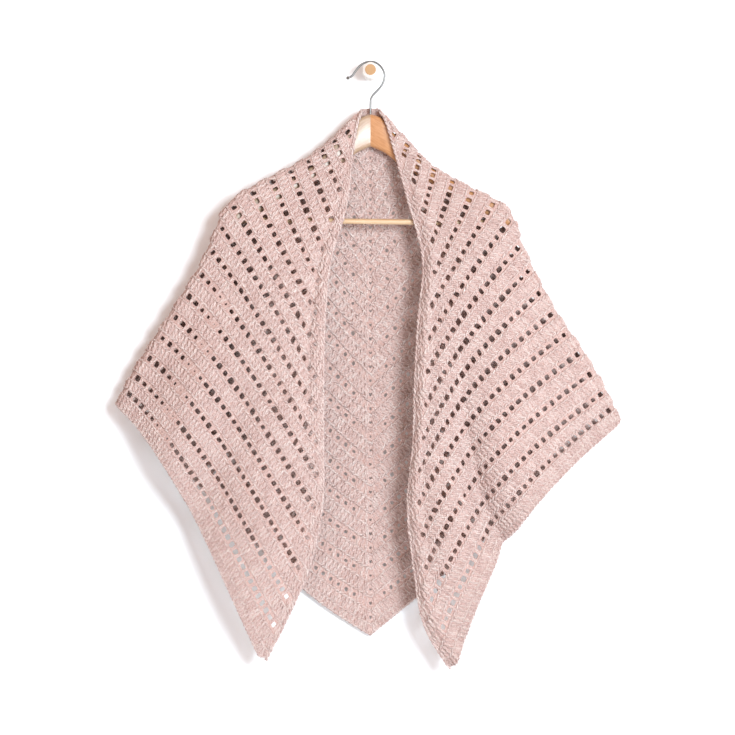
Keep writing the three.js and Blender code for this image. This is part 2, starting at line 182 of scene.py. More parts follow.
def buildStage():
    half, y = wall["width"] / 2, wall["y"]
    corners = [(-half, y, wall["bottom"]), (half, y, wall["bottom"]), (half, y, wall["top"])]
    corners.append((-half, y, wall["top"]))
    board = meshObject("wall", corners, [(0, 1, 2, 3)], [wallPaint()])
    board.visible_shadow = False  # light from behind still reaches the shawl's back
    matt = newMaterial("pale floor, matt", "#E4EBF1", 0.85)[0]
    z, front, back = wall["bottom"], ground["front"], ground["back"]
    corners = [(-half, front, z), (half, front, z), (half, back, z), (-half, back, z)]
    floor = meshObject("floor", corners, [(0, 1, 2, 3)], [matt])
    for name in ("key", "fill", "back"):
        values = lights[name]
        lamp = bpy.data.lights.new(name, "AREA")
        lamp.shape, lamp.size, lamp.energy = "DISK", values["size"], values["watts"]
        lamp.color = linear(lights["lampTint"])[:3]
        aimed(addToScene(name, lamp), values["at"], values["aim"])
    world = bpy.data.worlds.new("studio")
    world.use_nodes = True
    tree = world.node_tree
    ambient = tree.nodes["Background"]
    ambient.inputs["Color"].default_value = linear(lights["ambientTint"])
    ambient.inputs["Strength"].default_value = lights["ambient"]
    backdrop = addNode(tree, "ShaderNodeBackground", {"Color": linear(lights["backdrop"])})
    ray = addNode(tree, "ShaderNodeLightPath")
    either = mixShaders(tree, ray.outputs["Is Camera Ray"], ambient, backdrop)
    tree.links.new(either, tree.nodes["World Output"].inputs["Surface"])
    bpy.context.scene.world = world
    bpy.context.scene.view_settings.view_transform = "Standard"


buildCamera()
buildStage()
print("camera, wall and lights set")


# Cloth: where the draped shawl lies. row is 0 at the neck and 1 at the hem, across is -1 at the
# left front edge, 0 at the spine and 1 at the right front edge. The tables are in millimetres.

cloth = {
    "neckZ": -57,
    "spineLength": 815,
    "inset": 3.5,  # the middle surface turns this far inside the outline at the side fold
    "armY": -36,
    "armSweep": 0.14,
    "armReach": 213,
    "turnShare": 0.35,  # most of a layer that the turn at its side fold may take
    "rollWidth": 50,
    "rollRise": {-1: 0, 1: 9},
    "rollRows": (0.05, 0.25),  # the rolled edge grows over these rows
    "foldGrowth": 0.3,
    "foldEase": 0.12,  # the soft folds fade out over this share beside the side fold
    "bowFrom": 0.3,
    "wave": 0.6,  # uneven hang below the arms
    "waveRows": (0.45, 0.6),
    "backBend": {-1: 0.014, 1: 0.006},  # the back's rows climb faster beside the spine
    "bendEnds": (0.1, 0.85),  # it grows up to the first row and fades from the second
    "tipRound": 0.013,
    "tipAcross": 0.98,
    "tipRow": 0.95,
    "cornerRound": 0.005,
    "cornerWidth": 0.009,
    "cornerRow": 0.9,
    "notch": {"across": 0.783, "shadeAmount": 0.009, "width": 0.022, "fromRow": 0.85},
    "frameStep": 0.003,  # half the step over which the cloth's directions are measured
}
rowsAt = (0, 0.05, 0.1, 0.2, 0.3, 0.4, 0.45, 0.5, 0.6, 0.7, 0.8, 0.9, 1)
leftOutline = {
    "sideX": (16, 34, 54, 102, 157, 210, 229, 240, 266, 299, 333, 366, 394),
    "sideZ": (-59, -73, -97, -135, -164, -196, -219, -248, -304, -356, -409, -460, -514),
    "edgeX": (13, 20, 27, 37, 61, 70, 71, 72, 72, 73, 90, 124, 165),
    "edgeZ": (-62, -81, -118, -208, -295, -387, -432, -477, -569, -661, -750, -834, -915),
}
rightOutline = {
    "sideX": (17, 32, 51, 94, 149, 204, 220, 232, 259, 290, 327, 360, 387),
    "sideZ": (-59, -73, -97, -143, -176, -205, -226, -262, -320, -375, -428, -483, -539),
    "edgeX": (14, 24, 34, 58, 80, 73, 70, 68, 65, 57, 66, 83, 127),
    "edgeZ": (-62, -80, -113, -203, -292, -387, -433, -479, -574, -667, -760, -852, -927),
}
depthRows = (0, 0.05, 0.1, 0.2, 0.3, 0.4, 0.5, 0.6, 0.7, 0.8, 0.9, 1)
depths = {
    "spineY": (-25, -21, -18, -16, -15, -16, -15, -14, -14, -13, -13, -12),
    "sideBack": (6, 1, 0.8, 0.8, 0.6, 0, 1, 4, 8, 13, 18, 22),
    "edgeY": (-41, -52, -54, -71, -80, -85, -86, -85, -82, -77, -70, -61),
    "round": (3, 10, 12, 12, 12, 12, 12.5, 12.5, 13, 13, 12, 10),
    "bulge": (0, 0, 0, 1, 4, 8, 12, 16, 20, 23, 24, 24),
}
# Soft folds: share of the way in from the side fold, row where it starts, rise in mm, width.
folds = {
    (-1, "front"): (
        (0.26, 0.55, 15, 0.12),
        (0.46, 0.6, -10, 0.1),
        (0.78, 0.7, 9, 0.13),
        (0.86, 0.1, -8, 0.05),  # a valley beside the rolled edge, gone again further down
        (0.86, 0.45, 8, 0.05),
    ),
    (1, "front"): (
        (0.38, 0.55, 13, 0.13),
        (0.57, 0.55, -22, 0.09),
        (0.8, 0.65, 10, 0.13),
        (0.56, 0.6, -10, 0.035),  # a sharper crease in the valley, down to the notch
    ),
    (-1, "back"): ((0.45, 0.35, -7, 0.16),),
    (1, "back"): ((0.38, 0.4, -6, 0.15),),
}
# Where each stitch row crosses the side fold: the pull of the shoulder draws the rows up there.
foldRows = {
    -1: (0, 0.045, 0.079, 0.145, 0.235, 0.337, 0.395, 0.455, 0.578, 0.699, 0.814, 0.925, 1),
    1: (0, 0.053, 0.088, 0.158, 0.255, 0.362, 0.428, 0.485, 0.601, 0.715, 0.822, 0.925, 1),
}
# How far the rows bow up at the hem, in mm, and the share of the layer where they bow most.
bows = {
    (-1, "front"): (24, 0.36),
    (-1, "back"): (-17, 0.72),
    (1, "front"): (43, 0.5),
    (1, "back"): (-2, 0.72),
}


def smoothStep(start, end, value):
    share = np.clip((value - start) / (end - start), 0, 1)
    return share * share * (3 - 2 * share)


# A hump that is 1 at its middle and falls away on both sides.
def hill(value, middle, width):
    return np.exp(-(((value - middle) / width) ** 2))


# Reads a table's column at any row, on a smooth curve through its values (a cubic one, whose
# slope at each value is that of the line through its two neighbours).
def readTable(keys, column, row):
    keys, column = np.array(keys, float), np.array(column, float)
    last = len(keys) - 1
    i = np.clip(np.searchsorted(keys, row, "left") - 1, 0, last - 1)
    before, after = np.maximum(i - 1, 0), np.minimum(i + 2, last)
    span = keys[i + 1] - keys[i]
    startSlope = (column[i + 1] - column[before]) / (keys[i + 1] - keys[before])
    endSlope = (column[after] - column[i]) / (keys[after] - keys[i])
    u = (row - keys[i]) / span
    value = (1 + 2 * u) * (1 - u) ** 2 * column[i] + u * u * (3 - 2 * u) * column[i + 1]
    return value + span * startSlope * u * (1 - u) ** 2 + span * endSlope * u * u * (u - 1)


# Points of one layer's middle surface. along is 0 at the side fold, 1 at the edge or spine.
def layerPoints(side, layer, row, along):
    front = layer == "front"
    outline = leftOutline if side < 0 else rightOutline
    sideX = readTable(rowsAt, outline["sideX"], row)
    armY = cloth["armY"] - cloth["armSweep"] * np.minimum(np.abs(sideX), cloth["armReach"])
    sideY = armY + readTable(depthRows, depths["sideBack"], row)
    sideX = side * sideX
    sideZ = readTable(rowsAt, outline["sideZ"], row)
    if front:
        endX = side * readTable(rowsAt, outline["edgeX"], row)
        endY = readTable(depthRows, depths["edgeY"], row)
        endZ = readTable(rowsAt, outline["edgeZ"], row)
    else:
        endX = np.zeros_like(row)
        endY = readTable(depthRows, depths["spineY"], row)
        endZ = cloth["neckZ"] - cloth["spineLength"] * row
    radius = readTable(depthRows, depths["round"], row)
    outward = -1 if front else 1
    span = np.hypot(endX - sideX, endZ - sideZ)
    inset = np.minimum(cloth["inset"], span / 5)
    dirX, dirZ = (endX - sideX) / span, (endZ - sideZ) / span
    turn = np.minimum(cloth["turnShare"], radius * math.pi / 2 / span)
    angle = np.minimum(along / turn, 1) * math.pi / 2
    beyond = np.maximum((along - turn) / (1 - turn), 0)
    reach = inset + radius * (1 - np.cos(angle)) + (span - inset - radius) * beyond
    eased = smoothStep(0, 1, beyond) if front else np.sin(beyond * math.pi / 2)
    foldY = sideY + outward * radius * np.sin(angle)
    y = foldY + (endY - foldY) * eased
    if front:
        fromEdge = span - reach
        inRoll = np.minimum(fromEdge / cloth["rollWidth"], 1)
        roll = np.sin(math.pi * inRoll) ** 2
        bulge = readTable(depthRows, depths["bulge"], row)
        y -= bulge * np.sin(math.pi * beyond)
        y -= cloth["rollRise"][side] * roll * smoothStep(*cloth["rollRows"], row) * (beyond > 0)
    for place, fromRow, rise, width in folds[side, layer]:
        growth = smoothStep(fromRow, fromRow + cloth["foldGrowth"], row)
        hump = rise * growth * hill(along, place, width)
        y += outward * hump * smoothStep(0, cloth["foldEase"], beyond)
    bow, peak = bows[side, layer]
    share = np.clip(reach / span, 0, 1) ** (math.log(0.5) / math.log(peak))
    lift = bow * smoothStep(cloth["bowFrom"], 1, row) * np.sin(math.pi * share)
    x = sideX + dirX * reach + side * dirZ * lift
    z = sideZ + dirZ * reach - side * dirX * lift
    # three waves of unlike lengths, in mm, so that none of them shows as a pattern
    wave = np.sin(x / 17 + z / 31 + side) + np.sin(z / 23 - x / 41) + np.sin(x / 29 + 2 * side)
    y += cloth["wave"] * wave * smoothStep(*cloth["waveRows"], row)
    return np.stack([x, y, z], -1) / 1000


# Points of the cloth's middle surface. Each side folds over at half way across, where the
# back layer ends and the front layer starts.
def clothPoints(row, across):
    row, across = np.broadcast_arrays(np.asarray(row, float), np.asarray(across, float))
    points = np.zeros(row.shape + (3,))
    share = np.abs(across)
    for side in (-1, 1):
        sameSide = (across < 0) if side < 0 else (across >= 0)
        for layer in ("back", "front"):
            pick = sameSide & ((share <= 0.5) if layer == "back" else (share > 0.5))
            if pick.any():
                along = 1 - share[pick] * 2 if layer == "back" else share[pick] * 2 - 1
                points[pick] = layerPoints(side, layer, row[pick], along)
    return points


# Where a stitch row really runs: drawn up at the side folds, bent a little on the back, drawn
# in at the rounded tips and corners, and tucked up in the hem under the right front's crease.
def bentRow(row, across):
    share = np.abs(across)
    left, right = (readTable(rowsAt, foldRows[side], row) for side in (-1, 1))
    drawn = np.where(np.asarray(across) < 0, left, right) - row
    corner = cloth["cornerRound"] * hill(share, 0.5, cloth["cornerWidth"])
    notch = cloth["notch"]
    tuck = notch["shadeAmount"] * hill(across, notch["across"], notch["width"])
    drawn = drawn * (1 - np.abs(2 * share - 1)) - corner * smoothStep(cloth["cornerRow"], 1, row)
    drawn = drawn - tuck * smoothStep(notch["fromRow"], 1, row)
    top, bottom = cloth["bendEnds"]
    window = smoothStep(0, top, row) * smoothStep(1, bottom, row)
    bend = np.where(np.asarray(across) < 0, cloth["backBend"][-1], cloth["backBend"][1])
    bend = bend * window * np.sin(2 * math.pi * np.minimum(share, 0.5))
    inTip = smoothStep(cloth["tipAcross"], 1, share) * smoothStep(cloth["tipRow"], 1, row)
    return row + drawn - bend - cloth["tipRound"] * inTip


# Point, outward normal, direction along the row and direction down the rows, with their lengths.
def clothFrame(row, across):
    step = cloth["frameStep"]

    def at(someRow, someAcross):
        return clothPoints(bentRow(someRow, someAcross), someAcross)

    low, high = np.maximum(row - step, 0), np.minimum(row + step, 1)
    left, right = np.maximum(across - step, -1), np.minimum(across + step, 1)
    down = (at(high, across) - at(low, across)) / (high - low)[:, None]
    along = (at(row, right) - at(row, left)) / (right - left)[:, None]
    normal = np.cross(along, down)
    normal /= np.linalg.norm(normal, axis=1)[:, None]
    return at(row, across), normal, along, down


# Crochet layout: eyelet rows and solid rows by turns, in bands across the cloth.
crochet = {
    "eyeletRows": 18,
    "pitch": 0.05276,  # from one eyelet row to the next, as a share of the spine
    "lastEyelet": 0.93865,
    "edging": (0.9786, 0.997),
    "cellsAtTop": 3,  # cells on each side of the spine in the first eyelet row
    "cellsAdded": 4,
    "solidCells": 2,  # cells to the side of the spine that a solid row has more
    "plainCells": {-1: 1, 1: 2},  # cells at each front edge that have no eyelet
    "halfWall": 0.0007,
    "eyeletHalfWidth": 0.0041,
    "eyeletHalfHeight": 0.0041,
    "eyeletJitter": 0.24,
    "mostAcross": 0.38,  # an eyelet's half width at most, as a share of its cell
    "mostOfRow": 0.4,  # its half height at most, as a share of its row
    "eyeletCorners": 1.2,  # its corners stand out past its sides: a rounded square
    "eyeletSlant": 0.85,  # how far it follows the slant of the stitches
    "backEyelets": 0.64,  # those of the back are drawn together a little
    "spineHoles": 0.5,
    "spineHolesFrom": 0.03,
    "plainAtFold": 0.55,  # cells this near the side fold, in cells, are drawn shut
    # over the bulge of the left front the eyelets are pressed nearly shut
    "drawnShut": {"across": -0.6, "width": 0.022, "rows": (0.55, 0.63), "share": 0.75},
    "groundTone": 0.45,
    "sharpFrom": 50,  # degrees between faces from which an edge stays sharp
    # painted shade on the ground of each kind of band: the eyelet rows get the most
    "groundPaintedShade": {"eyelet": 0.7, "solid": 0.45, "edging": 0.45},
}


# Lists the bands from the neck to the hem: kind, first and last row, cells on each side.
def crochetBands():
    quarter = crochet["pitch"] / 4
    count = crochet["eyeletRows"]
    bands = []
    last = 0.0
    for i in range(count):
        middle = crochet["lastEyelet"] - crochet["pitch"] * (count - 1 - i)
        cells = crochet["cellsAtTop"] + crochet["cellsAdded"] * i
        solid = max(cells - crochet["solidCells"], 2)
        bands.append(("solid", last, middle - quarter, solid))
        bands.append(("eyelet", middle - quarter, middle + quarter, cells))
        last = middle + quarter
    cells += crochet["solidCells"]
    first, hem = crochet["edging"]
    bands.append(("solid", last, first, cells))
    bands.append(("edging", first, hem, cells + 1))
    return bands


# A closed strip of cloth for one band, with a ring of eight points round each eyelet.
def bandStrip(kind, start, end, cells, rng):
    total = 2 * cells + 1
    width = 2 / total
    edges = -1 + width * np.arange(total + 1)
    middle = (start + end) / 2
    isEyelet = kind == "eyelet"
    places = []  # row and across of each point on the middle surface
    upper = []  # faces of the outer side
    rim = []  # edges of the outer side that get a wall

    def addPoint(row, across):
        places.append((row, across))
        return len(places) - 1

    corner = [[addPoint(r, a) for r in (start, middle, end)] for a in edges]
    for k in range(total):
        centre = (edges[k] + edges[k + 1]) / 2
        left, right = corner[k], corner[k + 1]
        top, bottom = addPoint(start, centre), addPoint(end, centre)
        ring = [left[0], top, right[0], right[1], right[2], bottom, left[2], left[1]]
        rim += [(left[0], top), (top, right[0]), (right[2], bottom), (bottom, left[2])]
        fromSpine = abs(k - cells)
        plainCells = crochet["plainCells"][-1 if k < cells else 1]
        plain = cells - fromSpine < plainCells or fromSpine == 1
        plain = plain or abs(abs(centre) - 0.5) < crochet["plainAtFold"] * width
        onSpine = fromSpine == 0 and kind == "solid" and start > crochet["spineHolesFrom"]
        opened = (isEyelet and not plain) or onSpine
        if not opened:
            hub = addPoint(middle, centre)
            upper += [(ring[i], ring[(i + 1) % 8], hub) for i in range(8)]
            continue
        here = np.array([middle, middle])
        _, _, along, down = clothFrame(here, np.array([centre, centre]))
        alongSize = np.linalg.norm(along[0])
        alongUnit = along[0] / alongSize
        downSize = np.linalg.norm(down[0] - alongUnit * down[0].dot(alongUnit))
        slant = down[0].dot(alongUnit) / alongSize
        size = 1 if abs(centre) > 0.5 else crochet["backEyelets"]
        if fromSpine == 0:
            size = crochet["spineHoles"]
        shut = crochet["drawnShut"]
        near = hill(centre, shut["across"], shut["width"])
        size *= 1 - shut["share"] * near * smoothStep(*shut["rows"], middle)
        chance = rng.uniform(-1, 1, 3) * crochet["eyeletJitter"]
        halfAcross = crochet["eyeletHalfWidth"] * size * (1 + chance[0]) / alongSize
        halfRow = crochet["eyeletHalfHeight"] * size * (1 + chance[1]) / downSize
        halfAcross = min(halfAcross, crochet["mostAcross"] * width)
        halfRow = min(halfRow, crochet["mostOfRow"] * (end - start))
        hole = []
        for i in range(8):
            angle = math.pi * (i - 3) / 4
            stretch = 1 if i % 2 else crochet["eyeletCorners"]
            row = middle + halfRow * math.sin(angle) * stretch
            skew = -slant * (crochet["eyeletSlant"] + chance[2]) * (row - middle)
            hole.append(addPoint(row, centre + halfAcross * math.cos(angle) * stretch + skew))
        for i in range(8):
            j = (i + 1) % 8
            upper.append((ring[i], ring[j], hole[j], hole[i]))
            rim.append((hole[j], hole[i]))
    for k in (0, total):
        ends = corner[k] if k == 0 else corner[k][::-1]
        rim.append((ends[1], ends[0]))
        rim.append((ends[2], ends[1]))
    return places, upper, rim


def buildBaseSheet(material):
    points, faces, paintedShades = [], [], []
    rng = np.random.default_rng(4)
    for band in crochetBands():
        places, upper, rim = bandStrip(*band, rng)
        row, across = np.array(places).T
        at, normal, _, _ = clothFrame(row, across)
        first = sum(len(p) for p in points)
        back = first + len(at)
        points += [at + normal * crochet["halfWall"], at - normal * crochet["halfWall"]]
        # the eyelet rows lie lower than the ribs between them, so their ground gets more painted
        # shade and looks deeper in colour
        paintedShades += [crochet["groundPaintedShade"][band[0]]] * 2 * len(at)
        faces += [tuple(first + i for i in face[::-1]) for face in upper]
        faces += [tuple(back + i for i in face) for face in upper]
        faces += [(first + a, first + b, back + b, back + a) for a, b in rim]
    sheet = meshObject("shawl_ground", np.concatenate(points), faces, [material])
    tones = [crochet["groundTone"]] * len(paintedShades)
    for name, values in (("tone", tones), ("painted_shade", paintedShades)):
        layer = sheet.data.attributes.new(name, "FLOAT", "POINT")
        layer.data.foreach_set("value", np.array(values, np.float32))
    shadeSmooth(sheet, crochet["sharpFrom"])
    return sheet


yarnLook = {
    "spun": ("#B5968D", "#CAB2AA", "#D7C8BF"),
    "spunOver": (0.36, 0.64),  # the stretch of the noise that the tones are spread over
    "spunScale": 520,
    "perStitch": 0.14,
    # painted shade: the colour mixed in between the stitches, and the most of it
    "paintedShadeTint": "#A27060",
    "paintedShadeMost": 0.5,
    "fibreScale": 420,
    "fibreHeight": 0.0021,
}


# Chunky yarn: matt and hairy, dusty pink with paler and greyer stretches spun into it, and a
# redder painted shade mixed in between the stitches.
def chunkyYarn():
    material, tree, shader = newMaterial("chunky melange yarn, brushed", "#C9B1AA", 0.95)
    place = objectPlace(tree)
    # spun-in colours change every 2 mm or so, and from one stitch to the next
    spun = noise(tree, place, yarnLook["spunScale"], 4)
    perStitch = addNode(tree, "ShaderNodeAttribute", attribute_name="tone")
    mixed = addNode(
        tree, "ShaderNodeMix", {0: yarnLook["perStitch"], 2: spun, 3: perStitch.outputs["Fac"]}
    )
    tone = threeTones(tree, mixed.outputs[0], yarnLook["spun"], *yarnLook["spunOver"])
    # between the stitches a redder, deeper painted shade is mixed into the colour, by the
    # painted_shade attribute
    painted_shade = addNode(tree, "ShaderNodeAttribute", attribute_name="painted_shade")
    most = yarnLook["paintedShadeMost"]
    shadeAmount = addNode(tree, "ShaderNodeMapRange", {0: painted_shade.outputs["Fac"], 4: most})
    yarnResult = mixColours(tree, shadeAmount.outputs[0], tone, linear(yarnLook["paintedShadeTint"]))
    tree.links.new(yarnResult, shader.inputs["Base Color"])
    # tufts of fibre about 2.5 mm across, as coarse as the picture can show
    fibre = noise(tree, place, yarnLook["fibreScale"], 3)
    bumpFrom(tree, shader, fibre, 1.0, yarnLook["fibreHeight"])
    shader.inputs["Specular IOR Level"].default_value = 0.15
    shader.inputs["Sheen Weight"].default_value = 0.2
    shader.inputs["Sheen Roughness"].default_value = 0.6
    return material


yarn = chunkyYarn()
baseSheet = buildBaseSheet(yarn)
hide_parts("back_panel", "left_front", "right_front")
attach(baseSheet, "root")
print("cloth ground:", len(baseSheet.data.polygons), "faces")


# A tube along a path with a radius at each point, closed at both ends.
def tube(path, radii, sides):
    path = np.array(path, float)
    radii = np.broadcast_to(np.asarray(radii, float), len(path))
    tangents = np.gradient(path, axis=0)
    tangents /= np.linalg.norm(tangents, axis=1)[:, None]
    # any direction across the path does to start from
    side = np.cross(tangents[0], (0.13, 0.2, 1) if abs(tangents[0][2]) < 0.9 else (1, 0.1, 0))
    points, faces = [], []
    for at, tangent, radius in zip(path, tangents, radii):
        side = side - tangent * side.dot(tangent)
        side /= np.linalg.norm(side)
        other = np.cross(tangent, side)
        for k in range(sides):
            angle = 2 * math.pi * k / sides
            points.append(at + radius * (side * math.cos(angle) + other * math.sin(angle)))
    for i in range(len(path) - 1):
        for k in range(sides):
            a, b = i * sides + k, i * sides + (k + 1) % sides
            faces.append((a, b, b + sides, a + sides))
    last = (len(path) - 1) * sides
    faces += [tuple(range(sides - 1, -1, -1)), tuple(last + k for k in range(sides))]
    return np.array(points), faces


def joinedTubes(name, tubes):
    points, faces = [], []
    for tubePoints, tubeFaces in tubes:
        first = sum(len(p) for p in points)
        points.append(tubePoints)
        faces += [tuple(first + i for i in face) for face in tubeFaces]
    piece = meshObject(name, np.concatenate(points), faces)
    # painted shade by how far down between its neighbours each point lies: 0 on top, 1 at the
    # bottom
    height = np.abs(np.concatenate(points)[:, 2])
    layer = piece.data.attributes.new("painted_shade", "FLOAT", "POINT")
    shade = smoothStep(stitch["paintedShadeFrom"], 0, height / height.max())
    layer.data.foreach_set("value", shade)
    shadeSmooth(piece)
    return piece


# Stitches: a post is two plies that twist round each other, a loop is one stitch of a chain.
stitch = {
    "strandSides": 4,
    "paintedShadeFrom": 0.55,  # share of a stitch's height below which painted shade makes it deeper in colour
    "spacing": 0.00775,
    "postHeight": 0.0165,
    "strand": 0.0022,
    "postSpread": 0.0019,
    "postDepth": 0.0009,
    "postTurn": 2.2,  # half turns over its height
    "postSteps": 5,
    "postTaper": 0.25,  # both ends dive under the chain
    "postWidth": (0.45, 1.25),  # least and most of a post's scale along the row
    "slimPost": 0.74,  # a post of an eyelet row takes this share of a solid row's
    "edgePost": 0.3,  # how far in from the front edge the last post stands, in cells
    "plainPost": 0.6,
    "pairApart": 0.25,  # the two posts of a solid cell stand this far off its middle
    "spinePairApart": 0.42,
    "alongEdge": (0.055, 0.9),  # posts nearer to a front edge turn to lie along it
    "alongSpine": 0.02,
    "solidDepth": 1.25,  # solid rows stand out as ribs on both faces
    "openDepth": 0.85,
    "loopLength": 0.0098,
    "loopSlant": 0.0013,
    "loopDepth": 0.0013,
    "loopStrand": 0.0018,
    "loopAt": (-0.52, -0.2, 0.2, 0.52),
    "loopArch": 1.6,
    "loopTaper": 1.2,
    "loopWidth": (0.4, 1.4),
    "loopHeight": (0.5, 1.1),
    "thickness": (0.6, 1),  # it follows the width of the stitch, between these
    "thicknessGain": 0.2,
    "lean": 0.14,
    "leastRise": 0.5,  # a leaning post is lengthened as if it rose by this share at least
    "narrowest": 0.0027,  # at the neck, stitches that would be narrower than this are left out
    # beside the neck the fold is so sharp that a stitch laid across it would stick out
    "sharpFold": {"toRow": 0.11, "reach": 0.007},
    # the neck is stretched flat over the wood, its stitches drawn thin: least share, rows
    "neckWidth": (0.6, (0.02, 0.13)),
    "neckDepth": (0.25, (0, 0.16)),
    "edgeAcross": 0.999,
    "edgeSamples": 400,
    "edgeStep": 0.008,
    "edgeWidth": 1.05,
    "sizeJitter": 0.09,
    "turnJitter": 0.14,
}


def postShape():
    tubes = []
    height, steps = stitch["postHeight"], stitch["postSteps"]
    for phase in (0, math.pi):
        path, radii = [], []
        for i in range(steps + 1):
            share = i / steps - 0.5
            angle = phase + math.pi * stitch["postTurn"] * share
            squeeze = 1 - stitch["postTaper"] * (2 * share) ** 4
            x = stitch["postSpread"] * math.cos(angle) * squeeze
            path.append((x, height * share, stitch["postDepth"] * math.sin(angle) * squeeze))
            radii.append(stitch["strand"] * squeeze)
        tubes.append(tube(path, radii, stitch["strandSides"]))
    return joinedTubes("post", tubes)


# A chain stitch shows one slanting strand on each face of the cloth.
def loopShape():
    tubes = []
    length, slant = stitch["loopLength"], stitch["loopSlant"]
    for face in (-1, 1):
        path, radii = [], []
        for share in stitch["loopAt"]:
            high = face * stitch["loopDepth"] * (1 - stitch["loopArch"] * share * share)
            path.append((share * length, 2 * share * slant * face, high))
            radii.append(stitch["loopStrand"] * (1 - stitch["loopTaper"] * share * share))
        tubes.append(tube(path, radii, stitch["strandSides"]))
    return joinedTubes("loop", tubes)


# Rows and places along them where posts stand, with the share of a spacing that each takes.
def postPlaces():
    places = []
    for kind, start, end, cells in crochetBands():
        total = 2 * cells + 1
        width = 2 / total
        middle, lean = (start + end) / 2, 1 if kind == "eyelet" else -1
        if kind == "eyelet":
            across = list(-1 + width * np.arange(total + 1))
            across[0] += stitch["edgePost"] * width
            across[-1] -= stitch["edgePost"] * width
            plain = stitch["plainPost"]
            for side, plainCells in crochet["plainCells"].items():
                across += [side * (1 - width * (k + plain)) for k in range(plainCells)]
            across += [-width, width]
        else:
            centres = -1 + width * (np.arange(total) + 0.5)
            atSpine = np.arange(total) == cells
            apart = np.where(atSpine, stitch["spinePairApart"], stitch["pairApart"]) * width
            across = list(centres - apart) + list(centres + apart)
        slim = stitch["slimPost"] if kind == "eyelet" else 1
        places += [(middle, a, end - start, slim * width / 2, lean) for a in across]
    return np.array(places)


def loopPlaces():
    places = []
    for index, (_, start, end, cells) in enumerate(crochetBands()):
        count = 2 * (2 * cells + 1)
        across = -1 + 2 / count * (np.arange(count) + 0.5)
        way = 1 if index % 2 else -1
        places += [(end, a, end - start, 2 / count, way) for a in across]
    return np.array(places)


# The long front edges are bound by a chain: places at even steps from the neck to the tip.
def edgePlaces():
    rows = np.linspace(0, 1, stitch["edgeSamples"])
    places = []
    for side in (-1, 1):
        edge = stitch["edgeAcross"] * side
        ends = np.full(len(rows), edge)
        line = clothPoints(bentRow(rows, ends), ends)
        run = np.concatenate([[0], np.cumsum(np.linalg.norm(np.diff(line, axis=0), axis=1))])
        count = int(run[-1] / stitch["edgeStep"])
        at = np.interp((np.arange(count) + 0.5) / count * run[-1], run, rows)
        places += [(row, edge, 0, 0, (-1) ** i) for i, row in enumerate(at)]
    return np.array(places)


# Instances one stitch on each point, then makes one plain mesh of them.
def stitchTree():
    tree = bpy.data.node_groups.new("stitches on a surface", "GeometryNodeTree")
    for name, kind in (
        ("Geometry", "Geometry"),
        ("Stitch", "Object"),
        ("Size jitter", "Float"),
        ("Turn jitter", "Float"),
        ("Seed", "Int"),
        ("Yarn", "Material"),
    ):
        tree.interface.new_socket(name, in_out="INPUT", socket_type="NodeSocket" + kind)
    tree.interface.new_socket("Geometry", in_out="OUTPUT", socket_type="NodeSocketGeometry")
    inputs = addNode(tree, "NodeGroupInput").outputs

    def stored(name):
        return addNode(
            tree, "GeometryNodeInputNamedAttribute", {"Name": name}, data_type="FLOAT_VECTOR"
        ).outputs[0]

    def spread(amount, middle, seedShift):
        seed = addNode(tree, "ShaderNodeMath", {0: inputs["Seed"], 1: seedShift}, operation="ADD")
        low = addNode(tree, "ShaderNodeMath", {0: middle, 1: amount}, operation="SUBTRACT")
        high = addNode(tree, "ShaderNodeMath", {0: middle, 1: amount}, operation="ADD")
        ends = {0: low.outputs[0], 1: high.outputs[0], 8: seed.outputs[0]}
        return addNode(tree, "FunctionNodeRandomValue", ends, data_type="FLOAT_VECTOR").outputs[0]

    shape = addNode(tree, "GeometryNodeObjectInfo", {"Object": inputs["Stitch"]})
    axes = {"Primary Axis": stored("outward"), "Secondary Axis": stored("upright")}
    facing = addNode(
        tree, "FunctionNodeAxesToRotation", axes, primary_axis="Z", secondary_axis="Y"
    )
    turn = addNode(tree, "FunctionNodeEulerToRotation", {0: spread(inputs["Turn jitter"], 0, 1)})
    turned = addNode(
        tree,
        "FunctionNodeRotateRotation",
        {0: facing.outputs[0], 1: turn.outputs[0]},
        rotation_space="LOCAL",
    )
    scaled = addNode(
        tree,
        "ShaderNodeVectorMath",
        {0: stored("size"), 1: spread(inputs["Size jitter"], 1, 2)},
        operation="MULTIPLY",
    )
    placed = addNode(
        tree,
        "GeometryNodeInstanceOnPoints",
        {
            "Points": inputs["Geometry"],
            "Instance": shape.outputs["Geometry"],
            "Rotation": turned.outputs[0],
            "Scale": scaled.outputs[0],
        },
    )
    chance = addNode(tree, "FunctionNodeRandomValue", {8: inputs["Seed"]}, data_type="FLOAT")
    toned = addNode(
        tree,
        "GeometryNodeStoreNamedAttribute",
        {"Geometry": placed.outputs[0], "Name": "tone", "Value": chance.outputs[1]},
        data_type="FLOAT",
        domain="INSTANCE",
    )
    real = addNode(tree, "GeometryNodeRealizeInstances", {"Geometry": toned.outputs[0]})
    yarnResult = addNode(
        tree, "GeometryNodeSetMaterial", {"Geometry": real.outputs[0], "Material": inputs["Yarn"]}
    )
    addNode(tree, "NodeGroupOutput", {0: yarnResult.outputs[0]})
    return tree


